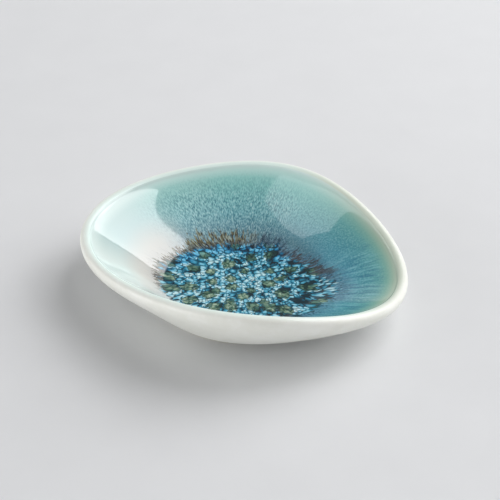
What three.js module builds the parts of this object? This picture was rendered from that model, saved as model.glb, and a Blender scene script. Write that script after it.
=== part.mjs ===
import {
  Box3,
  CubicBezierCurve,
  CurvePath,
  EllipseCurve,
  Float32BufferAttribute,
  Group,
  LatheGeometry,
  MathUtils,
  Mesh,
  MeshStandardMaterial,
  Vector2,
  Vector3,
} from 'three';
import { mergeVertices } from 'three/addons/utils/BufferGeometryUtils.js';

// A small porcelain dip dish, thrown round on an attached foot and pressed into a soft oval,
// so that its long sides rise and its ends dip. Millimetres and degrees, +Z up, the foot on z = 0.
// The photograph looks at the dish from -Y, with +X to the right.

// The thrown dish, before it is pressed
const lipRadius = 45; // axis to the outermost edge of the lip
const lipHeight = 16.2; // table to the middle of the lip's roll
const lipThickness = 3.5; // across the roll, glaze included
const lipLean = 60; // slope of the inside where it meets the roll
const wallAtFoot = 4.2; // wall thickness where it leaves the foot, glaze included
const wallRise = 19; // angle at which the wall springs from the foot
const springRun = 12.8; // how far the outside holds that angle
const uprightRun = 4; // how far the outside stands upright under the lip
const insideSpringRun = 6; // how far the inside holds the angle of its spring
const insideLipRun = 1; // how far the inside holds the slope of the lip
const wellHeight = 5; // table to the floor of the well
const wellFlat = 8.5; // radius of the flat middle of the well
const wellEase = 0.8; // how far the floor runs straight into the wall

// The foot ring
const footRadius = 23.5; // outside, on the table
const footHeight = 1.9;
const footFlare = 0.6; // how much wider the foot is where it meets the wall
const footWidth = 3.8; // across its top
const footTaper = 0.8; // how much its inside opens towards the table
const footEase = 0.4; // bevel of its two lower edges

// The coats
const glazeThickness = 0.5;
const recessGlazeThickness = 0.5;
const poolDepth = 1.2; // crystal glass in the middle of the well
const coatGap = 0.25; // joint line between neighbouring layers
const lipCover = 38; // degrees that the white glaze comes down the inside of the roll, from its top

// The pressing: each wave has a number of folds round the dish, a reach and the way it faces
const outlineWaves = [
  { folds: 2, reach: 4.4, facing: -36 }, // the oval
  { folds: 3, reach: 0.95, facing: 32.5 }, // a blunter right end
  { folds: 4, reach: 0.6, facing: -15 }, // slightly squared shoulders
];
const rimWaves = [
  { folds: 1, reach: 0.95, facing: 217 }, // the left side stands a little higher
  { folds: 2, reach: 3.95, facing: 80 }, // both long sides rise and both ends dip
  { folds: 3, reach: 1.3, facing: 46 }, // the right end dips most
];
const lipShift = new Vector2(0.8, 1.5); // the lip's centre, off the foot's centre
const spreadFade = 1.3; // how soon the outline's pressing fades down the wall
const liftFade = 2; // how soon the rim's rise fades down the wall

// The two borders inside, measured along the glaze from the middle of the well
const poolReach = 23; // mean reach of the crystal glass
const poolWaves = [
  { folds: 1, reach: 2, facing: -30 }, // it ran further up the right end
  { folds: 2, reach: 3, facing: -10 }, // and further along the oval than across it
];
const fleckWidth = 6; // band of flecks round the pool

// Smoothness
const columns = 80; // steps round the dish
const floorSteps = 4;
const wallSteps = 7;
const fleckSteps = 2;
const rollSteps = 6;
const lipSteps = 2;

const radians = MathUtils.degToRad;

/** A point on a slope of the given angle, `run` away from `start`. */
function alongSlope(start, angle, run) {
  return new Vector2(start.x + run * Math.cos(angle), start.y + run * Math.sin(angle));
}

// The section of the finished dish is one line: out along the floor of the well, up the inside,
// over the lip and down the outside to the foot.
const rise = radians(wallRise);
const upright = Math.PI / 2;
const lean = radians(lipLean);
const rollRadius = lipThickness / 2;
const footJoint = new Vector2(footRadius + footFlare, footHeight);
const wellEdge = alongSlope(footJoint, rise + upright, wallAtFoot);
const rollCentre = new Vector2(lipRadius - rollRadius, lipHeight);
const lipOuter = new Vector2(rollCentre.x + rollRadius, lipHeight);
const lipInner = alongSlope(rollCentre, lean + upright, rollRadius);

const floorLine = new CubicBezierCurve(
  new Vector2(0, wellHeight),
  new Vector2(wellFlat, wellHeight),
  alongSlope(wellEdge, rise, -wellEase),
  wellEdge,
);
const insideLine = new CubicBezierCurve(
  wellEdge,
  alongSlope(wellEdge, rise, insideSpringRun),
  alongSlope(lipInner, lean, -insideLipRun),
  lipInner,
);
const rollLine = new EllipseCurve(
  rollCentre.x,
  rollCentre.y,
  rollRadius,
  rollRadius,
  lean + upright,
  0,
  true,
);
const outsideLine = new CubicBezierCurve(
  lipOuter,
  alongSlope(lipOuter, upright, -uprightRun),
  alongSlope(footJoint, rise, springRun),
  footJoint,
);

const skinLine = new CurvePath();
for (const line of [floorLine, insideLine, rollLine, outsideLine]) {
  skinLine.add(line);
}
const [wellEnd, rollStart, rollEnd, skinEnd] = skinLine.getCurveLengths();
const lipBorder = rollStart + rollRadius * (lean - radians(lipCover));

/** How much of the pressing reaches a point of the skin: none at the foot, all of it at the lip. */
function pressShare(travel, radius) {
  if (travel <= wellEnd) {
    return 0;
  }
  if (travel >= rollStart && travel <= rollEnd) {
    return 1;
  }
  const foot = travel < rollStart ? wellEdge.x : footJoint.x;
  const lip = travel < rollStart ? lipInner.x : lipOuter.x;
  return MathUtils.clamp((radius - foot) / (lip - foot), 0, 1);
}

/** The point of the thrown dish that lies `depth` under the skin, `travel` along it from the axis. */
function skin(travel, depth) {
  const part = Math.min(travel / skinEnd, 1);
  const point = skinLine.getPoint(part);
  const way = skinLine.getTangent(part);
  return {
    radius: travel === 0 ? 0 : point.x + depth * way.y,
    height: point.y - depth * (travel === 0 ? 1 : way.x),
    share: pressShare(travel, point.x),
  };
}

/** A point of the thrown dish that the pressing leaves where it is. */
function thrown(radius, height) {
  return { radius, height, share: 0 };
}

/** Sum of cosine waves round the dish. */
function ripple(waves, angle) {
  let sum = 0;
  for (const wave of waves) {
    sum += wave.reach * Math.cos(wave.folds * (angle - radians(wave.facing)));
  }
  return sum;
}

/** Where the pressing takes a point of the thrown dish that stands at this angle round the axis. */
function press(point, angle) {
  const spread = Math.sin(point.share * upright) ** spreadFade;
  const lift = point.share ** liftFade;
  const reach = point.radius + spread * ripple(outlineWaves, angle);
  return new Vector3(
    reach * Math.cos(angle) + spread * lipShift.x,
    reach * Math.sin(angle) + spread * lipShift.y,
    point.height + lift * ripple(rimWaves, angle),
  );
}

/**
 * A solid of revolution, pressed. The section is a list of points, anticlockwise round the solid,
 * each a function of the angle, so that a border may wander as it goes round the dish.
 */
function pressedSolid(section) {
  const blank = section.map((pointAt) => new Vector2(pointAt(0).radius, pointAt(0).height));
  const lathe = new LatheGeometry(blank, columns);
  const places = [];
  for (let column = 0; column <= columns; column += 1) {
    const angle = ((column % columns) * 2 * Math.PI) / columns - upright;
    for (const pointAt of section) {
      places.push(...press(pointAt(angle), angle).toArray());
    }
  }
  lathe.setAttribute('position', new Float32BufferAttribute(places, 3));
  lathe.deleteAttribute('normal');
  lathe.deleteAttribute('uv');
  const solid = mergeVertices(lathe);
  solid.setIndex(withoutSlivers(solid.index.array));
  solid.computeVertexNormals();
  return solid;
}

/** The triangles that keep three corners of their own where a section meets the axis. */
function withoutSlivers(corners) {
  const kept = [];
  for (let first = 0; first < corners.length; first += 3) {
    const [a, b, c] = corners.slice(first, first + 3);
    if (a !== b && b !== c && c !== a) {
      kept.push(a, b, c);
    }
  }
  return kept;
}

/** Evenly spaced stations between two borders, each a function of the angle. */
function stations(from, to, steps) {
  const route = [];
  for (let step = 0; step <= steps; step += 1) {
    route.push((angle) => MathUtils.lerp(from(angle), to(angle), step / steps));
  }
  return route;
}

/** A border that keeps the same distance all round. */
function level(travel) {
  return () => travel;
}

/** The edge of the crystal glass, and of the band of flecks round it. */
function poolBorder(angle) {
  return poolReach + ripple(poolWaves, angle);
}

function fleckBorder(angle) {
  return poolBorder(angle) + fleckWidth;
}

/** Thickness of whatever lies on the clay inside: a lens of glass in the well, and glaze beyond it. */
function liningDepth(travel, angle) {
  const outwards = Math.min(travel / poolBorder(angle), 1);
  return glazeThickness + (poolDepth - glazeThickness) * (1 - outwards ** 2);
}

/** The points under the stations that lie `beyond` below the underside of the glaze. */
function underGlaze(route, beyond) {
  return route.map((travelAt) => (angle) => {
    const travel = travelAt(angle);
    return skin(travel, liningDepth(travel, angle) + beyond);
  });
}

/** A coat of glaze over the given stations of the skin, closed at both ends. */
function coatSection(route) {
  const under = underGlaze(route, 0);
  const face = route.map((travelAt) => (angle) => skin(travelAt(angle), 0)).reverse();
  return [...under, ...face, under[0]];
}

function clayBody() {
  const cover = glazeThickness + coatGap;
  const seat = footHeight + coatGap;
  const outside = stations(level(skinEnd), level(rollEnd), wallSteps);
  const roll = stations(level(rollEnd), level(rollStart), rollSteps).slice(1);
  const inside = stations(level(rollStart), fleckBorder, wallSteps).slice(1);
  const flecks = stations(fleckBorder, poolBorder, fleckSteps).slice(1);
  const floor = stations(poolBorder, level(0), floorSteps).slice(1);
  const covered = underGlaze([...outside, ...roll, ...inside, ...flecks, ...floor], coatGap);
  return pressedSolid([() => thrown(0, seat), () => thrown(footJoint.x - cover, seat), ...covered]);
}

function footRing() {
  const insideTop = footJoint.x - footWidth;
  const insideFoot = insideTop + footTaper;
  const corners = [
    thrown(insideFoot + footEase, 0),
    thrown(footRadius - footEase, 0),
    thrown(footRadius, footEase),
    thrown(footJoint.x, footHeight),
    thrown(insideTop, footHeight),
    thrown(insideFoot, footEase),
  ];
  return pressedSolid([...corners, corners[0]].map((corner) => () => corner));
}

function recessGlaze() {
  const edge = footJoint.x - footWidth - coatGap;
  const under = footHeight - recessGlazeThickness;
  const corners = [
    thrown(0, under),
    thrown(edge - recessGlazeThickness, under),
    thrown(edge, under + recessGlazeThickness / 2),
    thrown(edge, footHeight),
    thrown(0, footHeight),
  ];
  return pressedSolid(corners.map((corner) => () => corner));
}

function outerGlaze() {
  const joint = coatGap / 2;
  const roll = stations(level(lipBorder + joint), level(rollEnd), rollSteps);
  const outside = stations(level(rollEnd), level(skinEnd - coatGap), wallSteps).slice(1);
  return pressedSolid(coatSection([...roll, ...outside]));
}

function innerGlaze() {
  const joint = coatGap / 2;
  const wall = stations((angle) => fleckBorder(angle) + joint, level(rollStart), wallSteps);
  const roll = stations(level(rollStart), level(lipBorder - joint), lipSteps).slice(1);
  return pressedSolid(coatSection([...wall, ...roll]));
}

function fleckRing() {
  const joint = coatGap / 2;
  const from = (angle) => poolBorder(angle) + joint;
  const to = (angle) => fleckBorder(angle) - joint;
  return pressedSolid(coatSection(stations(from, to, fleckSteps)));
}

function crystalPool() {
  const joint = coatGap / 2;
  const route = stations(level(0), (angle) => poolBorder(angle) - joint, floorSteps);
  return pressedSolid(coatSection(route).slice(0, -1));
}

/** A named piece of the dish. */
function piece(name, geometry, color, roughness) {
  const part = new Mesh(geometry, new MeshStandardMaterial({ color, roughness, metalness: 0 }));
  part.name = name;
  return part;
}

const dish = new Group();
dish.name = 'dip_bowl';
dish.add(
  piece('clay_body', clayBody(), '#e8e4d9', 0.85),
  piece('foot_ring', footRing(), '#e3dfd2', 0.7),
  piece('outer_glaze', outerGlaze(), '#f2f2ec', 0.15),
  piece('recess_glaze', recessGlaze(), '#eeeee6', 0.2),
  piece('inner_glaze', innerGlaze(), '#74b5ad', 0.1),
  piece('fleck_ring', fleckRing(), '#6a5a38', 0.15),
  piece('crystal_pool', crystalPool(), '#4f8fb0', 0.1),
);

// The origin goes to the middle of the whole dish, on the table.
const middle = new Box3().setFromObject(dish).getCenter(new Vector3());
dish.position.set(-middle.x, -middle.y, 0);
dish.updateMatrixWorld(true);

export default dish;
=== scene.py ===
from functools import cached_property
from math import cos, pi, radians, sin

import bpy
import numpy as np
from mathutils import Matrix, Vector


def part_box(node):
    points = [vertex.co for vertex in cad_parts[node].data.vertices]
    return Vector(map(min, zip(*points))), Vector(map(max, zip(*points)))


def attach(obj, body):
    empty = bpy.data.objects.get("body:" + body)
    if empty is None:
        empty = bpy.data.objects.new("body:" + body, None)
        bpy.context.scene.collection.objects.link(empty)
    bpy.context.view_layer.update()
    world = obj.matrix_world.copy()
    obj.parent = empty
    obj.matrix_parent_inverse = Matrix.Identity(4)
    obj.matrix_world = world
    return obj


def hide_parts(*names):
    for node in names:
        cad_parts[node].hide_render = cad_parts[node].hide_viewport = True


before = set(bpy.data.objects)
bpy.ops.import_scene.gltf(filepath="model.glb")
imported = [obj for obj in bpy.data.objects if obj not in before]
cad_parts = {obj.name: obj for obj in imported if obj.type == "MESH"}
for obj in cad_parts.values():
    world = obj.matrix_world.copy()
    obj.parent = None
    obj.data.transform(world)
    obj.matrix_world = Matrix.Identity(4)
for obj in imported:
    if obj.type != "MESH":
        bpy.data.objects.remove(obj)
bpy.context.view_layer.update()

# The thrown dish, before it is pressed, in metres: the sizes of the part's source
LIP_RADIUS = 0.045
LIP_HEIGHT = 0.0162
LIP_THICKNESS = 0.0035
LIP_LEAN = radians(60)
WALL_AT_FOOT = 0.0042
WALL_RISE = radians(19)
SPRING_RUN = 0.0128
UPRIGHT_RUN = 0.004
INSIDE_SPRING_RUN = 0.006
INSIDE_LIP_RUN = 0.001
WELL_HEIGHT = 0.005
WELL_FLAT = 0.0085
WELL_EASE = 0.0008
FOOT_RADIUS = 0.0235
FOOT_HEIGHT = 0.0019
FOOT_FLARE = 0.0006
FOOT_WIDTH = 0.0038
FOOT_TAPER = 0.0008
FOOT_EASE = 0.0004
GLAZE_THICKNESS = 0.0005
POOL_DEPTH = 0.0012
LIP_COVER = radians(38)

# The pressing: (folds round the dish, reach in metres, the way it faces)
OUTLINE_WAVES = [(2, 0.0044, radians(-36)), (3, 0.00095, radians(32.5)), (4, 0.0006, radians(-15))]
RIM_WAVES = [(1, 0.00095, radians(217)), (2, 0.00395, radians(80)), (3, 0.0013, radians(46))]
LIP_SHIFT = (0.0008, 0.0015)
SPREAD_FADE = 1.3
LIFT_FADE = 2

# The borders of the crystal glass and of the band of flecks, measured along the glaze
POOL_REACH = 0.023
POOL_WAVES = [(1, 0.002, radians(-30)), (2, 0.003, radians(-10))]
FLECK_WIDTH = 0.006

# How finely the finished surfaces are divided
COLUMNS = 288
SAMPLES = 400  # points on each part of the section
LENS_ROWS = 36
FLECK_ROWS = 10
INSIDE_ROWS = 36
INSIDE_LIP_ROWS = 10
OUTSIDE_LIP_ROWS = 20
OUTSIDE_ROWS = 44
FLARE_ROWS = 4
FOOT_EDGE_STEP = SAMPLES // 8  # leaves eight points of an edge
RECESS_POINTS = 12
RECESS_RIM_STEP = SAMPLES // 6  # leaves six points of the rim
CORNER = radians(35)  # faces that meet at a sharper angle make an edge

# The foot's centre is the axis of the dish.
foot_low, foot_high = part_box("foot_ring")
AXIS = np.array([(foot_low.x + foot_high.x) / 2, (foot_low.y + foot_high.y) / 2])
ANGLES = np.arange(COLUMNS) * 2 * pi / COLUMNS
UPRIGHT = pi / 2
MILLIMETRE = 0.001
NOISE_MIDDLE = 0.5
COMMON_IOR = 1.5  # of every surface but the lining


def along_slope(start, angle, run):
    """The point on a slope of the given angle, a run away from its start."""
    return np.asarray(start) + run * np.array([cos(angle), sin(angle)])


def cubic(start, pull, draw, end):
    """A cubic curve that leaves start towards pull and reaches end from draw.

    At t it is (1 - t)^3 start + 3 (1 - t)^2 t pull + 3 (1 - t) t^2 draw + t^3 end.
    """
    t = np.linspace(0, 1, SAMPLES)[:, None]
    return (1 - t) ** 3 * start + 3 * (1 - t) ** 2 * t * pull + 3 * (1 - t) * t**2 * draw + t**3 * end


def arc(centre, radius, start, end):
    """Points of a circle's arc: the centre plus the radius turned from start to end."""
    turn = np.linspace(start, end, SAMPLES)[:, None]
    return centre + radius * np.hstack([np.cos(turn), np.sin(turn)])


# The section of the finished dish is one line: floor, inside wall, roll of the lip, outside wall.
roll_radius = LIP_THICKNESS / 2
foot_joint = np.array([FOOT_RADIUS + FOOT_FLARE, FOOT_HEIGHT])
well_edge = along_slope(foot_joint, WALL_RISE + UPRIGHT, WALL_AT_FOOT)
roll_centre = np.array([LIP_RADIUS - roll_radius, LIP_HEIGHT])
lip_outer = roll_centre + [roll_radius, 0]
lip_inner = along_slope(roll_centre, LIP_LEAN + UPRIGHT, roll_radius)
section_parts = [
    cubic(
        np.array([0, WELL_HEIGHT]),
        np.array([WELL_FLAT, WELL_HEIGHT]),
        along_slope(well_edge, WALL_RISE, -WELL_EASE),
        well_edge,
    ),
    cubic(
        well_edge,
        along_slope(well_edge, WALL_RISE, INSIDE_SPRING_RUN),
        along_slope(lip_inner, LIP_LEAN, -INSIDE_LIP_RUN),
        lip_inner,
    ),
    arc(roll_centre, roll_radius, LIP_LEAN + UPRIGHT, 0),
    cubic(
        lip_outer,
        along_slope(lip_outer, UPRIGHT, -UPRIGHT_RUN),
        along_slope(foot_joint, WALL_RISE, SPRING_RUN),
        foot_joint,
    ),
]
skin_line = np.vstack([section_parts[0]] + [part[1:] for part in section_parts[1:]])
skin_travel = np.concatenate([[0], np.cumsum(np.linalg.norm(np.diff(skin_line, axis=0), axis=1))])
skin_way = np.gradient(skin_line, skin_travel, axis=0)
skin_way /= np.linalg.norm(skin_way, axis=1, keepdims=True)
well_end, roll_start, roll_end, skin_end = skin_travel[[(SAMPLES - 1) * part for part in range(1, 5)]]
lip_border = roll_start + roll_radius * (LIP_LEAN - LIP_COVER)


def ripple(waves, angle):
    """Sum of cosine waves round the dish: reach times cos(folds times the angle from its facing)."""
    return sum(reach * np.cos(folds * (angle - facing)) for folds, reach, facing in waves)


def pool_border(angle):
    """How far along the glaze the crystal glass reaches: its mean reach plus its waves."""
    return POOL_REACH + ripple(POOL_WAVES, angle)


def fleck_border(angle):
    """The outer border of the band of flecks: a band's width beyond the crystal glass."""
    return pool_border(angle) + FLECK_WIDTH


def lining_depth(travel, angle):
    """Thickness on the clay: a paraboloid lens of glass over the pool, even glaze beyond it."""
    outwards = np.minimum(travel / pool_border(angle), 1)
    return GLAZE_THICKNESS + (POOL_DEPTH - GLAZE_THICKNESS) * (1 - outwards**2)


def skin(travel, depth):
    """Radius, height and pressed share of the point a depth under the skin, square to the section.

    The share is how far out the point lies, from where the dish stays round to the lip. Inside, the
    dish stays round up to the edge of the well, and outside up to the foot.
    """
    radius, height = (np.interp(travel, skin_travel, skin_line[:, axis]) for axis in (0, 1))
    way_out, way_up = (np.interp(travel, skin_travel, skin_way[:, axis]) for axis in (0, 1))
    inside = travel < roll_start
    round_end = np.where(inside, well_edge[0], foot_joint[0])
    lip = np.where(inside, lip_inner[0], lip_outer[0])
    share = np.clip((radius - round_end) / (lip - round_end), 0, 1)
    share = np.where((travel >= roll_start) & (travel <= roll_end), 1, share)
    share = np.where(travel <= well_end, 0, share)
    return radius + depth * way_up, height - depth * way_out, share


def press(radius, height, share, angle):
    """The pressed place of a thrown point: its radius gains the outline's waves, its height the rim's."""
    spread = np.sin(share * UPRIGHT) ** SPREAD_FADE
    reach = radius + spread * ripple(OUTLINE_WAVES, angle)
    return np.stack(
        [
            AXIS[0] + reach * np.cos(angle) + spread * LIP_SHIFT[0],
            AXIS[1] + reach * np.sin(angle) + spread * LIP_SHIFT[1],
            height + share**LIFT_FADE * ripple(RIM_WAVES, angle),
        ],
        axis=-1,
    )


def points_of(grid, poles):
    """The vertices of a grid, row by row. With poles, the first and last row give one vertex each."""
    if not poles:
        return grid.reshape(-1, 3)
    return np.vstack([grid[1:-1].reshape(-1, 3), grid[0, :1], grid[-1, :1]])


def faces_of(rows, columns, poles):
    """Quads between neighbouring rows and columns; columns join round the axis.

    Without poles the last row joins the first, round the section. With poles each end is a fan of
    triangles round its one vertex.
    """
    if not poles:
        lower = np.arange(rows * columns).reshape(rows, columns)
        upper = np.roll(lower, -1, axis=0)
        fans = []
    else:
        middle = np.arange((rows - 2) * columns).reshape(rows - 2, columns)
        lower, upper = middle[:-1], middle[1:]
        pole = np.full(columns, middle.size)
        first, last = middle[0], middle[-1]
        fans = np.stack([pole, np.roll(first, -1), first], axis=-1).tolist()
        fans += np.stack([pole + 1, last, np.roll(last, -1)], axis=-1).tolist()
    quads = np.stack([lower, np.roll(lower, -1, axis=1), np.roll(upper, -1, axis=1), upper], axis=-1)
    return quads.reshape(-1, 4).tolist() + fans


def solid(name, places, node, poles=False, glaze_place=None):
    """A closed smooth solid in place of a CAD node, from its section's rows carried round the axis."""
    mesh = bpy.data.meshes.new(name)
    mesh.from_pydata(points_of(places, poles).tolist(), [], faces_of(*places.shape[:2], poles))
    mesh.polygons.foreach_set("use_smooth", np.ones(len(mesh.polygons), dtype=bool))
    mesh.set_sharp_from_angle(angle=CORNER)
    if glaze_place is not None:
        place = mesh.attributes.new("glaze_place", "FLOAT_VECTOR", "POINT")
        place.data.foreach_set("vector", points_of(glaze_place, poles).ravel())
    piece = bpy.data.objects.new(name, mesh)
    bpy.context.scene.collection.objects.link(piece)
    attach(piece, "root")
    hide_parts(node)
    return piece


def stations(start, end, steps):
    """Rows of travel, evenly spaced between two borders; a border is one number or one a column."""
    share = np.linspace(0, 1, steps + 1)[:, None]
    return (1 - share) * np.broadcast_to(start, COLUMNS) + share * np.broadcast_to(end, COLUMNS)


def coat(name, face, node, poles=False):
    """A coat of glaze: its section runs out along the underside and back along the face.

    For its pattern the glaze is laid out flat, in millimetres: each vertex keeps its travel times
    the cosine and sine of its angle, and how far it lies beyond the border of the crystal glass.
    """
    travel = np.vstack([face, face[::-1]])
    depth = np.vstack([lining_depth(face, ANGLES), np.zeros_like(face)])
    places = press(*skin(travel, depth), ANGLES)
    laid_flat = [travel * np.cos(ANGLES), travel * np.sin(ANGLES), travel - pool_border(ANGLES)]
    return solid(name, places, node, poles, np.stack(laid_flat, axis=-1) / MILLIMETRE)


def turned(section):
    """Points of a section, (radius, height), carried round the axis of the foot and not pressed."""
    radius, height = np.asarray(section).T[:, :, None]
    return press(radius, height, 0.0, ANGLES)


def white_coat():
    """The white glaze: from inside the lip, over its roll and down the outside to the foot."""
    roll = stations(lip_border, roll_end, OUTSIDE_LIP_ROWS)
    wall = stations(roll_end, skin_end, OUTSIDE_ROWS)[1:]
    return coat("white_coat", np.vstack([roll, wall]), "outer_glaze")


def celadon_lining():
    """The celadon lining, from the band of flecks up to the white glaze of the lip."""
    wall = stations(fleck_border(ANGLES), roll_start, INSIDE_ROWS)
    roll = stations(roll_start, lip_border, INSIDE_LIP_ROWS)[1:]
    return coat("celadon_lining", np.vstack([wall, roll]), "inner_glaze")


def fleck_band():
    """The band of flecks, between the crystal glass and the lining."""
    band = stations(pool_border(ANGLES), fleck_border(ANGLES), FLECK_ROWS)
    return coat("fleck_band", band, "fleck_ring")


def crystal_lens():
    """The lens of crystal glass in the well."""
    face = stations(0, pool_border(ANGLES), LENS_ROWS)
    return coat("crystal_lens", face, "crystal_pool", poles=True)


def foot():
    """The foot ring: a flat standing face between two rounded edges, flaring up to the wall."""
    inside_top = foot_joint[0] - FOOT_WIDTH
    inside_foot = inside_top + FOOT_TAPER
    inner_edge = arc(np.array([inside_foot + FOOT_EASE, FOOT_EASE]), FOOT_EASE, pi, 3 * UPRIGHT)
    outer_edge = arc(np.array([FOOT_RADIUS - FOOT_EASE, FOOT_EASE]), FOOT_EASE, -UPRIGHT, 0)
    edges = [inner_edge[::FOOT_EDGE_STEP], outer_edge[::FOOT_EDGE_STEP]]
    flare = np.linspace([FOOT_RADIUS, FOOT_EASE], foot_joint, FLARE_ROWS + 1)[1:]
    section = np.vstack([*edges, flare, [[inside_top, FOOT_HEIGHT]]])
    return solid("foot", turned(section), "foot_ring")


def recess_coat():
    """The glaze inside the foot: a thin disc whose rim climbs a little way down the foot."""
    edge = foot_joint[0] - FOOT_WIDTH
    under = FOOT_HEIGHT - GLAZE_THICKNESS
    disc = np.linspace([0, under], [edge - GLAZE_THICKNESS, under], RECESS_POINTS)
    rim = arc(np.array([edge - GLAZE_THICKNESS, FOOT_HEIGHT]), GLAZE_THICKNESS, -UPRIGHT, 0)
    top = [[edge, FOOT_HEIGHT], [0, FOOT_HEIGHT]]
    section = np.vstack([disc, rim[RECESS_RIM_STEP::RECESS_RIM_STEP], top])
    return solid("recess_coat", turned(section), "recess_glaze", poles=True)


white = white_coat()
celadon = celadon_lining()
flecks = fleck_band()
crystals = crystal_lens()
ring = foot()
recess = recess_coat()
clay = bpy.data.objects["clay_body"]


class Recipe:
    """Adds nodes to one material or group and wires them up."""

    def __init__(self, tree):
        self.tree = tree

    def connect(self, node, sockets):
        """Gives each named or numbered input of a node its value or another node's socket."""
        for name, value in sockets.items():
            if isinstance(value, bpy.types.NodeSocket):
                self.tree.links.new(value, node.inputs[name])
            else:
                node.inputs[name].default_value = value

    def node(self, kind, sockets=None, **settings):
        """A node with its settings and the values of its inputs."""
        node = self.tree.nodes.new(kind)
        for name, value in settings.items():
            setattr(node, name, value)
        self.connect(node, sockets or {})
        return node

    def math(self, operation, first, second=0.0, third=0.0):
        """The result of one operation on numbers."""
        sockets = {0: first, 1: second, 2: third}
        return self.node("ShaderNodeMath", sockets, operation=operation).outputs[0]

    def times(self, first, *others):
        """The product of numbers."""
        for other in others:
            first = self.math("MULTIPLY", first, other)
        return first

    def plus(self, first, *others):
        """The sum of numbers."""
        for other in others:
            first = self.math("ADD", first, other)
        return first

    def line(self, value, slope, start):
        """A straight line: the value times a slope, plus its start."""
        return self.math("MULTIPLY_ADD", value, slope, start)

    def centred(self, noise, reach):
        """Noise moved to lie about nought and spread over a reach."""
        return self.times(self.plus(noise, -NOISE_MIDDLE), reach)

    def vector(self, operation, first, second=(0, 0, 0)):
        """The result of one operation on vectors."""
        node = self.node("ShaderNodeVectorMath", {0: first, 1: second}, operation=operation)
        return node.outputs["Value" if operation in ("LENGTH", "DOT_PRODUCT") else "Vector"]

    def scaled(self, vector, factor):
        """A vector times a number."""
        return self.node("ShaderNodeVectorMath", {0: vector, "Scale": factor}, operation="SCALE").outputs[0]

    def join(self, x, y, z):
        """The vector of three numbers."""
        return self.node("ShaderNodeCombineXYZ", {0: x, 1: y, 2: z}).outputs[0]

    def rise(self, value, start, end, low=0.0, high=1.0):
        """A soft step: low before start, high after end."""
        sockets = {"Value": value, "From Min": start, "From Max": end, "To Min": low, "To Max": high}
        return self.node("ShaderNodeMapRange", sockets, interpolation_type="SMOOTHSTEP").outputs[0]

    def mix(self, factor, first, second, blend="MIX"):
        """Two colours mixed; MULTIPLY and the like blend the second into the first."""
        sockets = {0: factor, 6: first, 7: second}
        return self.node("ShaderNodeMix", sockets, data_type="RGBA", blend_type=blend).outputs[2]

    def ramp(self, value, stops):
        """Colours between stops, each (place from 0 to 1, colour)."""
        node = self.node("ShaderNodeValToRGB", {0: value})
        band = node.color_ramp
        band.elements[0].position, band.elements[0].color = stops[0]
        band.elements[1].position, band.elements[1].color = stops[-1]
        for place, colour in stops[1:-1]:
            band.elements.new(place).color = colour
        return node.outputs[0]

    def noise(self, vector, scale, detail, output=0):
        """Soft noise: one number, or three from the output Color."""
        sockets = {"Vector": vector, "Scale": scale, "Detail": detail}
        return self.node("ShaderNodeTexNoise", sockets).outputs[output]

    def cells(self, vector, scale, feature="F1", randomness=1.0):
        """Scattered cells in the plane: their distance and, for each, a random colour."""
        sockets = {"Vector": vector, "Scale": scale, "Randomness": randomness}
        return self.node("ShaderNodeTexVoronoi", sockets, voronoi_dimensions="2D", feature=feature).outputs

    def channel(self, colour, name):
        """The red, green or blue of a colour."""
        return self.node("ShaderNodeSeparateColor", {0: colour}).outputs[name]

    def emboss(self, height, strength, distance):
        """The surface's normal, tipped by the height of a pattern; the distance is in metres."""
        sockets = {"Height": height, "Strength": strength, "Distance": distance}
        return self.node("ShaderNodeBump", sockets).outputs["Normal"]

    def place(self, group, sockets):
        """A shared group placed in this recipe with its own values."""
        return self.node("ShaderNodeGroup", sockets, node_tree=group).outputs

    def glaze_place(self):
        """The place on the glaze laid out flat, which the vertices of a coat keep."""
        return self.node("ShaderNodeAttribute", attribute_name="glaze_place").outputs["Vector"]


def shade(red, green, blue):
    """A colour as it looks on a screen, 0 to 255, turned by the sRGB curve into the light it scatters."""
    seen = np.array([red, green, blue]) / 255
    light = np.where(seen <= 0.04045, seen / 12.92, ((seen + 0.055) / 1.055) ** 2.4)
    return (*light.tolist(), 1.0)


def level(bearing):
    """The level direction of a bearing in degrees, counted from +X towards +Y."""
    return (cos(radians(bearing)), sin(radians(bearing)), 0)


class Layout:
    """The glaze laid out flat, in millimetres: how far and in which direction each place lies."""

    def __init__(self, recipe, place):
        self.recipe = recipe
        self.flat = recipe.vector("MULTIPLY", place, (1, 1, 0))

    @cached_property
    def travel(self):
        """How far along the glaze a place lies from the middle of the floor."""
        return self.recipe.vector("LENGTH", self.flat)

    @cached_property
    def way(self):
        """The direction that a place lies in."""
        return self.recipe.vector("NORMALIZE", self.flat)

    def towards(self, bearing):
        """The cosine of the angle between a place's direction and a bearing."""
        return self.recipe.vector("DOT_PRODUCT", self.way, level(bearing))

    def side(self, bearing, full, end):
        """A mask on one side of the dish: one within an angle of its bearing, nought past another."""
        return self.recipe.rise(self.towards(bearing), cos(radians(end)), cos(radians(full)))

    def streaks(self, fineness, length, seed, detail):
        """Noise round the dish, drawn out along the slope.

        It is read at the direction times the fineness, moved up by the travel over the length.
        """
        slope = self.recipe.join(seed, 0, self.recipe.times(self.travel, 1 / length))
        spot = self.recipe.vector("ADD", self.recipe.scaled(self.way, fineness), slope)
        return self.recipe.noise(spot, 1, detail)


def new_group(name, inputs, outputs):
    """An empty node group with named sockets, its recipe and the sockets that it is given."""
    group = bpy.data.node_groups.new(name, "ShaderNodeTree")
    for label, kind in inputs:
        group.interface.new_socket(label, in_out="INPUT", socket_type="NodeSocket" + kind)
    for label, kind in outputs:
        group.interface.new_socket(label, in_out="OUTPUT", socket_type="NodeSocket" + kind)
    recipe = Recipe(group)
    return group, recipe, recipe.node("NodeGroupInput").outputs


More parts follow.
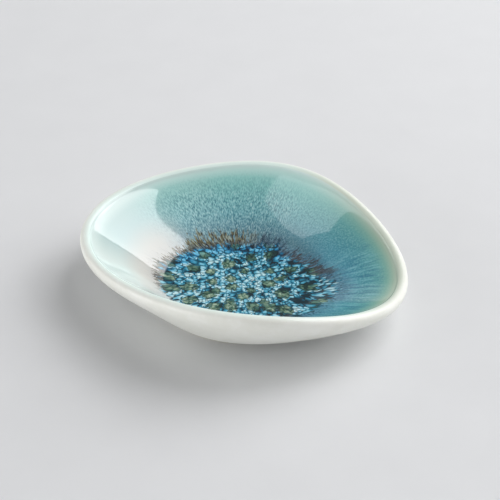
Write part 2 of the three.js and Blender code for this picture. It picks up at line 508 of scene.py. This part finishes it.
def new_material(name, roughness, ior=COMMON_IOR):
    """A material with a Principled shader, its recipe and that shader."""
    material = bpy.data.materials.new(name)
    material.use_nodes = True
    recipe = Recipe(material.node_tree)
    shader = material.node_tree.nodes["Principled BSDF"]
    recipe.connect(shader, {"Roughness": roughness, "IOR": ior})
    return material, recipe, shader


# The colours of the crystals, from the deepest glass to the lightest growth: (lightness, colour)
BLUE_CRYSTALS = [
    (0.05, shade(2, 44, 56)),
    (0.26, shade(10, 92, 118)),
    (0.44, shade(52, 152, 184)),
    (0.6, shade(126, 202, 226)),
    (0.88, shade(204, 238, 244)),
]
OLIVE_CRYSTALS = [
    (0.3, shade(12, 54, 52)),
    (0.45, shade(58, 94, 72)),
    (0.58, shade(104, 132, 94)),
    (0.76, shade(174, 194, 164)),
]
BLUE_SEAM = shade(2, 40, 50)
OLIVE_SEAM = shade(14, 42, 42)
OLIVE_RIM = shade(8, 36, 38)

# How fine the crystals are, in cells to a millimetre
LARGE_CRYSTALS = 0.62
SMALL_CRYSTALS = 1.15
OLIVE_BLOBS = 0.2

# The noises among the crystals: (fineness, detail)
SIZE_PATCHES = (0.3, 1)
TONE_PATCHES = (0.3, 2)
SEAM_PATCHES = (0.9, 1)
OLIVE_VEINS = (1.3, 2)
STIRRING = (0.9, 1)

# How far the crystals are drawn out and stirred, in millimetres
DRAW_REACH = 45
STIR_REACH = 0.9
OLIVE_STIR_REACH = 1.6

# Soft steps of the crystals: (start, end), and (low, high) where they are not nought and one
SMALL_PATCH = (0.49, 0.52)
DOME = (0.6, 0.1)
SEAM = (0.17, 0.03)
SEAM_FADING = (0.36, 0.54, 0.35, 1)
MIDDLE_LIGHTNESS = (14, 3, 0, 0.12)
OLIVE_BORDER = (0, 0.02, 0, 0.86)
OLIVE_RIM_WIDTH = (0.07, 0, 0, 0.85)
OLIVE_HEART = (0.05, 0.3, -0.06, 0.1)

# Shares of the crystals' lightness and strength; a line is (slope, start)
TONE_LINE = (0.62, 0.02)
PATCH_CONTRAST = 1.3
# Painted shading of the domed crystals: each cell is lighter in its middle, as if lit from above
DOME_PAINTED_SHADING = 0.32
LEFT_LIGHTNESS = (-0.005, 0, 0)  # for each millimetre along X, Y and Z
BLUE_SEAM_STRENGTH = 0.86
OLIVE_SEAM_STRENGTH = 0.4
OLIVE_SIZE_LINE = (0.16, 0.28)
OLIVE_SCATTER = 0.9
OLIVE_PRESENT = 0.78  # share of the olive cells that have a blob
OLIVE_TONE = 0.35
OLIVE_VEIN_TONE = 0.6


def blue_cells(recipe, spot):
    """The crystals as cells in the plane, large in some patches and small in others.

    Gives a random tone for each cell, its dome and the seam round it, which fades here and there.
    """
    small = recipe.rise(recipe.noise(spot, *SIZE_PATCHES), *SMALL_PATCH)

    def grown(feature, output):
        """One measure of the cells, large and small ones mixed by their patches."""
        large = recipe.cells(spot, LARGE_CRYSTALS, feature)[output]
        fine = recipe.cells(spot, SMALL_CRYSTALS, feature)[output]
        return recipe.channel(recipe.mix(small, large, fine), "Red")

    dome = recipe.rise(grown("F1", "Distance"), *DOME)
    seam = recipe.rise(grown("DISTANCE_TO_EDGE", "Distance"), *SEAM)
    fading = recipe.rise(recipe.noise(spot, *SEAM_PATCHES), *SEAM_FADING)
    return grown("F1", "Color"), dome, recipe.times(seam, fading)


def olive_blobs(recipe, spot):
    """The larger olive crystals: how far a place lies inwards of a blob's rim, and the blobs' mask."""
    blobs = recipe.cells(spot, OLIVE_BLOBS, randomness=OLIVE_SCATTER)
    size = recipe.line(recipe.channel(blobs["Color"], "Green"), *OLIVE_SIZE_LINE)
    inwards = recipe.math("SUBTRACT", size, blobs["Distance"])
    present = recipe.math("LESS_THAN", recipe.channel(blobs["Color"], "Red"), OLIVE_PRESENT)
    return inwards, recipe.times(present, recipe.rise(inwards, *OLIVE_BORDER))


def crystal_group():
    """Crystals grown in the glass: domed blue cells with dark seams, and rounder olive ones.

    They are drawn out along the slope towards the edge of the glass: each place is divided by one
    plus the square of its travel over the drawing reach. Then noise stirs them.
    """
    outputs = [("Color", "Color"), ("Relief", "Float")]
    group, recipe, given = new_group("crystals", [("Place", "Vector")], outputs)
    layout = Layout(recipe, given["Place"])
    drawn = recipe.plus(recipe.math("POWER", recipe.times(layout.travel, 1 / DRAW_REACH), 2), 1)
    spot = recipe.scaled(layout.flat, recipe.math("DIVIDE", 1, drawn))
    stir = recipe.vector("SUBTRACT", recipe.noise(spot, *STIRRING, "Color"), (NOISE_MIDDLE,) * 3)
    spot = recipe.vector("ADD", spot, recipe.scaled(stir, STIR_REACH))

    tone, dome, seam = blue_cells(recipe, spot)
    lightness = recipe.plus(
        recipe.line(tone, *TONE_LINE),
        recipe.centred(recipe.noise(spot, *TONE_PATCHES), PATCH_CONTRAST),
        # painted shading: the middle of each domed cell is lighter
        recipe.times(dome, DOME_PAINTED_SHADING),
        recipe.rise(layout.travel, *MIDDLE_LIGHTNESS),
        recipe.vector("DOT_PRODUCT", layout.flat, LEFT_LIGHTNESS),
    )
    blue = recipe.ramp(lightness, BLUE_CRYSTALS)
    blue = recipe.mix(recipe.times(seam, BLUE_SEAM_STRENGTH), blue, BLUE_SEAM)

    blob_spot = recipe.vector("ADD", spot, recipe.scaled(stir, OLIVE_STIR_REACH))
    inwards, olive_mask = olive_blobs(recipe, blob_spot)
    veins = recipe.times(recipe.noise(spot, *OLIVE_VEINS), OLIVE_VEIN_TONE)
    olive_tone = recipe.plus(recipe.line(lightness, OLIVE_TONE, veins), recipe.rise(inwards, *OLIVE_HEART))
    olive = recipe.ramp(olive_tone, OLIVE_CRYSTALS)
    olive = recipe.mix(recipe.rise(inwards, *OLIVE_RIM_WIDTH), olive, OLIVE_RIM)
    olive = recipe.mix(recipe.times(seam, OLIVE_SEAM_STRENGTH), olive, OLIVE_SEAM)
    recipe.node("NodeGroupOutput", {"Color": recipe.mix(olive_mask, blue, olive), "Relief": dome})
    return group


# The wall's glaze from the band of flecks up to the lip: (travel in millimetres, colour)
DEEP_GLAZE = [
    (24, shade(64, 126, 148)),
    (27, shade(90, 163, 184)),
    (31, shade(84, 160, 178)),
    (35, shade(84, 158, 168)),
    (39, shade(100, 165, 165)),
    (41.5, shade(126, 176, 164)),
    (43.5, shade(160, 188, 170)),
    (45.6, shade(204, 214, 198)),
]
PALE_GLAZE = [
    (24, shade(104, 146, 158)),
    (27, shade(118, 168, 184)),
    (31, shade(131, 197, 207)),
    (35, shade(138, 207, 210)),
    (40, shade(145, 211, 206)),
    (42, shade(159, 217, 211)),
    (44, shade(202, 237, 231)),
    (45.6, shade(226, 242, 238)),
]
RAMP_REACH = 50  # travel in millimetres that the two spans of colour cover

# Where the glaze is paler: a bearing in degrees, and the cosines from it where the paler colours begin and
# are full
PALE_BEARING = 130
PALING = (-0.5, 0.45)

# Veils over the wall's glaze, each on one side: (bearing, full within, ends at), strength, colour. All are
# milky; the one on the left is partly painted reflection.
MILKY_AND_REFLECTION_SIDE = (172, 18, 50)
VEILS = [
    ((137, 12, 40), 0.22, shade(208, 226, 224)),
    # Partly the glaze's own milkiness, partly painted reflection: paler and greyer where the softbox is
    # reflected, so the reflection reads white
    (MILKY_AND_REFLECTION_SIDE, 0.75, shade(186, 203, 203)),
    ((202, 18, 44), 0.8, shade(222, 234, 229)),
]

# Tints of the milky side: a soft step along the glaze, colour
MILKY_TINTS = [
    ((40, 44, 0, 0.55), shade(224, 240, 236)),
    ((37, 28, 0, 0.7), shade(214, 205, 197)),
]


def wall_group():
    """The glaze of the wall: blue near the glass, turquoise above it and pale green at the lip.

    It is deepest in colour on the right, and paler and milky on the left, where the milky veil is partly
    painted reflection.
    """
    group, recipe, given = new_group("wall glaze", [("Place", "Vector")], [("Color", "Color")])
    layout = Layout(recipe, given["Place"])
    share = recipe.times(layout.travel, 1 / RAMP_REACH)

    def along_wall(stops):
        """The colours of a list whose places are travel in millimetres."""
        return recipe.ramp(share, [(travel / RAMP_REACH, colour) for travel, colour in stops])

    # the mask of the paler colours, towards the back left; the deeper ones lie towards the front right
    thin = recipe.rise(layout.towards(PALE_BEARING), *PALING)
    colour = recipe.mix(thin, along_wall(DEEP_GLAZE), along_wall(PALE_GLAZE))
    # The veil on the left paints part of the softbox's reflection into the colour
    for side, strength, veil in VEILS:
        colour = recipe.mix(recipe.times(layout.side(*side), strength), colour, veil)
    milky = layout.side(*MILKY_AND_REFLECTION_SIDE)
    for step, tint in MILKY_TINTS:
        colour = recipe.mix(recipe.times(milky, recipe.rise(layout.travel, *step)), colour, tint)
    recipe.node("NodeGroupOutput", {"Color": colour})
    return group


# Streaks of the lining: (fineness round the dish, length in millimetres, seed, detail)
RUNS = (12, 13, 0, 2)
TUFTS = (26, 5, 7, 2)
THREADS = (112, 0.8, 3, 2)
VEINS = (34, 7, 17, 3)
SPOTS = (36, 3.2, 11, 3)
EARTHS = (60, 2.4, 5, 2)

# Sides of the lining, in degrees: (bearing, full within, ends at)
SHORT_SIDE = (24, 4, 38)
SMOOTH_SIDE = (172, 20, 55)
LEATHERY_SIDE = (0, 20, 75)
VEINED_SIDE = (-18, 12, 44)
NAVY_SIDE = (58, 8, 34)
COBALT_SIDE = (100, 40, 80)
OCHRE_SIDE = (135, 40, 66)
UMBER_SIDE = (26, 8, 34)

# How far the border of the glass is drawn in and out, in millimetres
RUNS_REACH = 7
TUFTS_REACH = 6
THREADS_REACH = 5
SHORT_REACH = 4.5

# The grain: soft steps by travel and by pattern, and lines (slope, start) that weaken it on one side
GRAIN_DARK = shade(52, 112, 130)
GRAIN_LIGHT = shade(196, 228, 228)
GRAIN_REACH = (45, 34, 0, 0.75)
GRAIN_HOLLOWS = (0.58, 0.32)
GRAIN_CRESTS = (0.46, 0.74)
LEATHER_NOISE = (1.7, 2)
NO_GRAIN = (-1, 1)
LEATHER_GRAIN = (-0.45, 1)
LEATHER_CRESTS = (-0.5, 1)

# The blue veins: soft steps by travel and by streak
VEIN_DARK = shade(38, 100, 136)
VEIN_LIGHT = shade(138, 196, 208)
VEIN_REACH = (43, 36)
VEIN_HOLLOWS = (0.52, 0.36, 0, 0.5)
VEIN_CRESTS = (0.5, 0.66, 0, 0.5)

# The dusky border: soft steps by millimetres beyond the glass and by streak, and strengths by side
VIOLET = shade(106, 146, 180)
VIOLET_REACH = (8, 2)
VIOLET_THREADS = (0.42, 0.6)
VIOLET_STRENGTH = (-0.4, 0.5)
DUSK = shade(30, 60, 88)
DUSK_REACH = (5, 0)
DUSK_THREADS = (0.6, 0.4)
DUSK_STRENGTH = (-0.5, 0.75)
NAVY = shade(28, 44, 66)
NAVY_REACH = (5, 0.5)
NAVY_TUFTS = (0.62, 0.4, 0, 0.7)

# The edge of the glass and its cobalt margin: soft steps by millimetres beyond the glass
GLASS_EDGE = (0.6, -0.6)
COBALT = shade(150, 220, 250)
COBALT_OUTSIDE = (1, -1)
COBALT_INSIDE = (-6, -2)

# The flecks: soft steps by millimetres beyond the glass, by nearness to it and by spot
FLECKS_BEGIN = (-1.2, 0.2)
OCHRES = [
    (0.38, shade(40, 32, 30)),
    (0.46, shade(86, 70, 40)),
    (0.54, shade(128, 118, 62)),
    (0.62, shade(164, 178, 168)),
]
OCHRE_ROOT = shade(34, 32, 40)
OCHRE_ROOT_REACH = (2.6, 0.4, 0, 0.6)
OCHRE_REACH = (0.1, 0.7, 7.5, 2.6)  # millimetres beyond the glass, by how smooth the side is
OCHRE_CROWDING = 0.22
OCHRE_SPOTS = (0.52, 0.6)
OCHRE_END = (0.1, 0.35, 0, 0.88)
UMBER = shade(68, 56, 52)
UMBER_LOW = (4.5, 0)
UMBER_CROWDING = 0.14
UMBER_SPOTS = (0.52, 0.62)
UMBER_END = (5.5, 2.5, 0, 0.8)

# How rough the lining is, from the wall to the glass and added towards the lip, and how deep its relief is
GLASS_ROUGHNESS = (2, -1, 0.035, 0.1)
LIP_ROUGHNESS = (42.5, 45.5, 0, 0.16)
THREAD_RELIEF = 0.1
LINING_RELIEF = (0.25, 0.0001)  # strength, distance
LINING_ROUGHNESS = 0.08
LINING_IOR = 1.75


def feathered_edge(recipe, layout, beyond, tufts, threads):
    """How far a place lies beyond the border of the crystal glass, once streaks have feathered it."""
    edge = recipe.plus(
        beyond,
        recipe.centred(layout.streaks(*RUNS), RUNS_REACH),
        recipe.centred(tufts, TUFTS_REACH),
        recipe.centred(threads, THREADS_REACH),
    )
    return recipe.line(layout.side(*SHORT_SIDE), SHORT_REACH, edge)


def grained(recipe, layout, colour, threads, smooth):
    """A colour with its grain, dark and light: fine threads, and a leathery grain on the right."""
    leathery = layout.side(*LEATHERY_SIDE)
    grain = recipe.times(
        recipe.rise(layout.travel, *GRAIN_REACH),
        recipe.line(smooth, *NO_GRAIN),
        recipe.line(leathery, *LEATHER_GRAIN),
    )
    pattern = recipe.mix(leathery, threads, recipe.noise(layout.flat, *LEATHER_NOISE))
    hollows = recipe.times(grain, recipe.rise(pattern, *GRAIN_HOLLOWS))
    crests = recipe.times(grain, recipe.line(leathery, *LEATHER_CRESTS), recipe.rise(pattern, *GRAIN_CRESTS))
    return recipe.mix(crests, recipe.mix(hollows, colour, GRAIN_DARK), GRAIN_LIGHT)


def veined(recipe, layout, colour):
    """A colour with blue veins, dark and light, on the right."""
    veins = layout.streaks(*VEINS)
    mask = recipe.times(layout.side(*VEINED_SIDE), recipe.rise(layout.travel, *VEIN_REACH))
    hollows = recipe.times(mask, recipe.rise(veins, *VEIN_HOLLOWS))
    crests = recipe.times(mask, recipe.rise(veins, *VEIN_CRESTS))
    return recipe.mix(crests, recipe.mix(hollows, colour, VEIN_DARK), VEIN_LIGHT)


def dusky(recipe, layout, colour, edge, tufts, threads, smooth):
    """A colour darkened along the border of the glass: violet, then dusk, then navy on one side."""
    violet = recipe.times(recipe.rise(edge, *VIOLET_REACH), recipe.rise(threads, *VIOLET_THREADS))
    violet = recipe.times(violet, recipe.line(smooth, *VIOLET_STRENGTH))
    dusk = recipe.times(recipe.rise(edge, *DUSK_REACH), recipe.rise(threads, *DUSK_THREADS))
    dusk = recipe.times(dusk, recipe.line(smooth, *DUSK_STRENGTH))
    navy = recipe.times(recipe.rise(edge, *NAVY_REACH), layout.side(*NAVY_SIDE))
    navy = recipe.times(navy, recipe.rise(tufts, *NAVY_TUFTS))
    colour = recipe.mix(violet, colour, VIOLET)
    colour = recipe.mix(dusk, colour, DUSK)
    return recipe.mix(navy, colour, NAVY)


def flecked(recipe, layout, colour, edge, smooth):
    """A colour with its flecks: ochre ones with dark roots behind and on the left, umber ones on the right.

    They crowd near the glass and thin out away from it. On the smooth side the ochre ones end sooner.
    """
    spots = layout.streaks(*SPOTS)
    outside = recipe.rise(edge, *FLECKS_BEGIN)
    near = recipe.math("DIVIDE", edge, recipe.rise(smooth, *OCHRE_REACH))
    near = recipe.math("SUBTRACT", 1, near)
    ochre = recipe.times(outside, layout.side(*OCHRE_SIDE))
    ochre = recipe.times(ochre, recipe.rise(recipe.line(near, OCHRE_CROWDING, spots), *OCHRE_SPOTS))
    ochre = recipe.times(ochre, recipe.rise(near, *OCHRE_END))
    earth = recipe.ramp(layout.streaks(*EARTHS), OCHRES)
    earth = recipe.mix(recipe.rise(edge, *OCHRE_ROOT_REACH), earth, OCHRE_ROOT)
    crowded = recipe.line(recipe.rise(edge, *UMBER_LOW), UMBER_CROWDING, spots)
    umber = recipe.times(outside, layout.side(*UMBER_SIDE))
    umber = recipe.times(umber, recipe.rise(crowded, *UMBER_SPOTS), recipe.rise(edge, *UMBER_END))
    return recipe.mix(umber, recipe.mix(ochre, colour, earth), UMBER)


def lining_group(crystals, wall):
    """The whole lining from the place on the glaze laid out flat, in millimetres.

    From below come the wall's glaze with its grain and veins, the dusky border, the crystal glass
    with a cobalt margin, and the flecks.
    """
    outputs = [("Color", "Color"), ("Relief", "Float"), ("Roughness", "Float")]
    group, recipe, given = new_group("lining", [("Place", "Vector")], outputs)
    layout = Layout(recipe, given["Place"])
    tufts = layout.streaks(*TUFTS)
    threads = layout.streaks(*THREADS)
    smooth = layout.side(*SMOOTH_SIDE)
    beyond = recipe.node("ShaderNodeSeparateXYZ", {0: given["Place"]}).outputs["Z"]
    edge = feathered_edge(recipe, layout, beyond, tufts, threads)

    glaze = recipe.place(wall, {"Place": given["Place"]})["Color"]
    glaze = grained(recipe, layout, glaze, threads, smooth)
    glaze = veined(recipe, layout, glaze)
    glaze = dusky(recipe, layout, glaze, edge, tufts, threads, smooth)
    crystal = recipe.place(crystals, {"Place": given["Place"]})
    glass = recipe.rise(edge, *GLASS_EDGE)
    colour = recipe.mix(glass, glaze, crystal["Color"])
    margin = recipe.times(recipe.rise(edge, *COBALT_OUTSIDE), recipe.rise(edge, *COBALT_INSIDE))
    colour = recipe.mix(recipe.times(margin, layout.side(*COBALT_SIDE)), colour, COBALT, "MULTIPLY")
    colour = flecked(recipe, layout, colour, edge, smooth)

    relief = recipe.line(crystal["Relief"], glass, recipe.times(threads, THREAD_RELIEF))
    roughness = recipe.plus(recipe.rise(edge, *GLASS_ROUGHNESS), recipe.rise(layout.travel, *LIP_ROUGHNESS))
    recipe.node("NodeGroupOutput", {"Color": colour, "Relief": relief, "Roughness": roughness})
    return group


def lining_material(name, group):
    """A glossy glaze that takes its pattern from the place kept on its vertices."""
    material, recipe, shader = new_material(name, LINING_ROUGHNESS, LINING_IOR)
    glaze = recipe.place(group, {"Place": recipe.glaze_place()})
    relief = recipe.emboss(glaze["Relief"], *LINING_RELIEF)
    recipe.connect(shader, {"Base Color": glaze["Color"], "Roughness": glaze["Roughness"], "Normal": relief})
    return material


# The white glaze, the foot and the clay: light colour, deep colour, roughness
WHITE = (shade(244, 245, 239), shade(238, 239, 231), 0.28)
# The foot's cream is partly its own colour and partly painted shade: darkened for the contact shadow at the
# foot
FOOT_CREAM_AND_SHADE = (shade(216, 215, 207), shade(200, 198, 189), 0.45)
CLAY_CREAM = (shade(225, 220, 210), shade(212, 206, 195), 0.7)

# Their mottling: (fineness, detail) of its noises, their shares and the soft step between the colours
CLOUDS = (90, 3)
GRAINS = (900, 2)
CLOUD_SHARE = 0.75
GRAIN_SHARE = 0.25
MOTTLING = (0.4, 0.62)
WHITE_RELIEF = (0.15, 0.0003)  # strength, distance

# The ends of the white glaze: soft steps by travel
LIP_CELADON = shade(227, 245, 240)
LIP_CREAM = shade(206, 216, 200)
LIP_CREAM_SIDE = (10, 20, 70)
LIP_TINT = (48.6, 45.2)
# Painted shade: a greyer line in the crease where the wall meets the foot
FOOT_CREASE_SHADE = shade(196, 194, 182)
FOOT_CREASE_SHADE_STEP = (73.6, 75.6, 0, 0.7)


def white_group():
    """A faint mottling between a light and a deep colour, and its slight relief."""
    inputs = [("Spot", "Vector"), ("Light", "Color"), ("Deep", "Color")]
    group, recipe, given = new_group("white glaze", inputs, [("Color", "Color"), ("Relief", "Float")])
    cloud = recipe.noise(given["Spot"], *CLOUDS)
    grain = recipe.noise(given["Spot"], *GRAINS)
    tone = recipe.line(grain, GRAIN_SHARE, recipe.times(cloud, CLOUD_SHARE))
    colour = recipe.mix(recipe.rise(tone, *MOTTLING), given["Deep"], given["Light"])
    recipe.node("NodeGroupOutput", {"Color": colour, "Relief": cloud})
    return group


def white_material(name, group, finish):
    """A cream-white glaze, or the fired clay where the roughness is high."""
    light, deep, roughness = finish
    material, recipe, shader = new_material(name, roughness)
    spot = recipe.node("ShaderNodeTexCoord").outputs["Object"]
    glaze = recipe.place(group, {"Spot": spot, "Light": light, "Deep": deep})
    relief = recipe.emboss(glaze["Relief"], *WHITE_RELIEF)
    recipe.connect(shader, {"Base Color": glaze["Color"], "Normal": relief})
    return material


def lip_blush(material):
    """The ends of the white glaze: a tint from the lining on the lip, and a greyer line of painted shade in
    the crease above the foot.
    """
    recipe = Recipe(material.node_tree)
    shader = material.node_tree.nodes["Principled BSDF"]
    layout = Layout(recipe, recipe.glaze_place())
    tint = recipe.mix(layout.side(*LIP_CREAM_SIDE), LIP_CELADON, LIP_CREAM)
    colour = shader.inputs["Base Color"].links[0].from_socket
    # painted shade in the crease above the foot
    colour = recipe.mix(recipe.rise(layout.travel, *FOOT_CREASE_SHADE_STEP), colour, FOOT_CREASE_SHADE)
    recipe.connect(shader, {"Base Color": recipe.mix(recipe.rise(layout.travel, *LIP_TINT), colour, tint)})


lining = lining_group(crystal_group(), wall_group())
for piece in (celadon, flecks, crystals):
    piece.data.materials.append(lining_material(piece.name, lining))
white_glaze = white_group()
for piece in (white, recess):
    piece.data.materials.append(white_material(piece.name, white_glaze, WHITE))
lip_blush(white.data.materials[0])
# the foot's colour holds painted contact shade
ring.data.materials.append(white_material("foot", white_glaze, FOOT_CREAM_AND_SHADE))
clay.data.materials.clear()
clay.data.materials.append(white_material("clay", white_glaze, CLAY_CREAM))

# The floor: half the side of its paper in metres, its greys and its finish
FLOOR_REACH = 0.8
PAPER_DEEP = shade(221, 222, 224)
PAPER_LIGHT = shade(226, 227, 229)
PAPER_CLOUDS = (60, 4)
PAPER_ROUGHNESS = 0.9
PAPER_SHEEN = 0.1


def paper_material():
    """Pale grey paper with a soft, faint cloudiness."""
    material, recipe, shader = new_material("paper", PAPER_ROUGHNESS)
    cloud = recipe.noise(recipe.node("ShaderNodeTexCoord").outputs["Object"], *PAPER_CLOUDS)
    colour = recipe.mix(cloud, PAPER_DEEP, PAPER_LIGHT)
    recipe.connect(shader, {"Base Color": colour, "Specular IOR Level": PAPER_SHEEN})
    return material


def paper_floor():
    """The floor: a square of paper under the dish."""
    corners = [(x * FLOOR_REACH, y * FLOOR_REACH, 0) for x, y in ((-1, -1), (1, -1), (1, 1), (-1, 1))]
    mesh = bpy.data.meshes.new("floor")
    mesh.from_pydata(corners, [], [(0, 1, 2, 3)])
    mesh.materials.append(paper_material())
    paper = bpy.data.objects.new("floor", mesh)
    bpy.context.scene.collection.objects.link(paper)
    return paper


floor = paper_floor()

scene = bpy.context.scene
scene.view_settings.view_transform = "Standard"
FOOT_CENTRE = Vector((*AXIS, 0))

# The lights, in metres and degrees: name, (bearing, height), distance, size, radiance, turn, tilt
LIGHTS = [
    ("softbox", (34.7, 44.4), 1.5, (1.06, 1.463), 3.2, 35.8, (13.6, 10.2)),  # large, behind on the right
    ("window", (10, 30), 1.5, (1.35, 0.92), 2.4, 0, (0, 0)),  # lower, on the right
    ("panel", (189, 55.4), 0.7, (0.369, 0.16), 1.2, 13.5, (-1.6, -11)),  # small, high on the left
]

# The room: bearings in degrees, with light as soft steps by the cosine from them
FRONT_WALL = 202
FRONT_LIGHT = (0.2, 0.95, 0.1, 1.75)
BACK_WALL = 50
BACK_LIGHT = (0, 1, 0, 0.5)
LOW_WINDOW = 186
WINDOW_LIGHT = (0.8, 1, 0, 3.6)

# The room: light as soft steps by degrees above the horizon
CEILING = (30, 27)
FLOOR_GLOW = (20, 4, 1, 1.4)
WINDOW_TOP = (12, 3)
CEILING_LIGHT = 0.2
HORIZON = (0, -0.01)  # by the sine of the height
GROUND_GREY = shade(211, 212, 214)

# The camera stands in front of the dish and aims a little above and to the right of its foot.
CAMERA_BEARING = -90
CAMERA_HEIGHT = 35
CAMERA_DISTANCE = 0.65
CAMERA_DIP = 33.79
CAMERA_TURN = -0.2554
FOCAL_LENGTH = 159.9
SENSOR_WIDTH = 36


def from_foot(bearing, height, distance):
    """The point at a distance from the foot's centre, in a direction given by two angles in degrees."""
    along, across, _ = level(bearing)
    reach = distance * cos(radians(height))
    return FOOT_CENTRE + Vector((reach * along, reach * across, distance * sin(radians(height))))


def light_panel(name, direction, distance, size, radiance, turn, tilt):
    """A rectangular light that looks back at the dish, turned in its own plane and tilted off it.

    Its power is its radiance times pi times its area.
    """
    lamp = bpy.data.lights.new(name, "AREA")
    lamp.shape = "RECTANGLE"
    lamp.size, lamp.size_y = size
    lamp.energy = radiance * pi * size[0] * size[1]
    panel = bpy.data.objects.new(name, lamp)
    panel.location = from_foot(*direction, distance)
    away = from_foot(direction[0] + tilt[0], direction[1] + tilt[1], 1.0) - FOOT_CENTRE
    facing = away.to_track_quat("Z", "Y").to_matrix() @ Matrix.Rotation(radians(turn), 3, "Z")
    panel.rotation_euler = facing.to_euler()
    scene.collection.objects.link(panel)


def studio_world():
    """A room whose walls are pale in front on the left, and a little behind, under a dark ceiling.

    The walls brighten towards the floor. A low window stands on the left, and pale ground lies below
    the horizon.
    """
    world = bpy.data.worlds.new("studio")
    world.use_nodes = True
    recipe = Recipe(world.node_tree)
    way = recipe.node("ShaderNodeTexCoord").outputs["Generated"]
    height = recipe.node("ShaderNodeSeparateXYZ", {0: way}).outputs["Z"]

    def by_bearing(bearing, *step):
        """Light from one side, as a soft step."""
        return recipe.rise(recipe.vector("DOT_PRODUCT", way, level(bearing)), *step)

    def by_height(start, end, low=0.0, high=1.0):
        """A soft step between two heights in degrees above the horizon."""
        return recipe.rise(height, sin(radians(start)), sin(radians(end)), low, high)

    walls = recipe.plus(by_bearing(FRONT_WALL, *FRONT_LIGHT), by_bearing(BACK_WALL, *BACK_LIGHT))
    walls = recipe.times(walls, by_height(*CEILING), by_height(*FLOOR_GLOW))
    window = recipe.times(by_bearing(LOW_WINDOW, *WINDOW_LIGHT), by_height(*WINDOW_TOP))
    room = recipe.math("MAXIMUM", recipe.plus(walls, window), CEILING_LIGHT)
    light = recipe.mix(recipe.rise(height, *HORIZON), room, GROUND_GREY)
    recipe.connect(world.node_tree.nodes["Background"], {"Color": light})
    return world


for light in LIGHTS:
    light_panel(*light)
scene.world = studio_world()

lens = bpy.data.cameras.new("camera")
lens.sensor_width = SENSOR_WIDTH
lens.lens = FOCAL_LENGTH
camera = bpy.data.objects.new("camera", lens)
camera.location = from_foot(CAMERA_BEARING, CAMERA_HEIGHT, CAMERA_DISTANCE)
camera.rotation_euler = (UPRIGHT - radians(CAMERA_DIP), 0, radians(CAMERA_TURN))
scene.collection.objects.link(camera)
scene.camera = camera
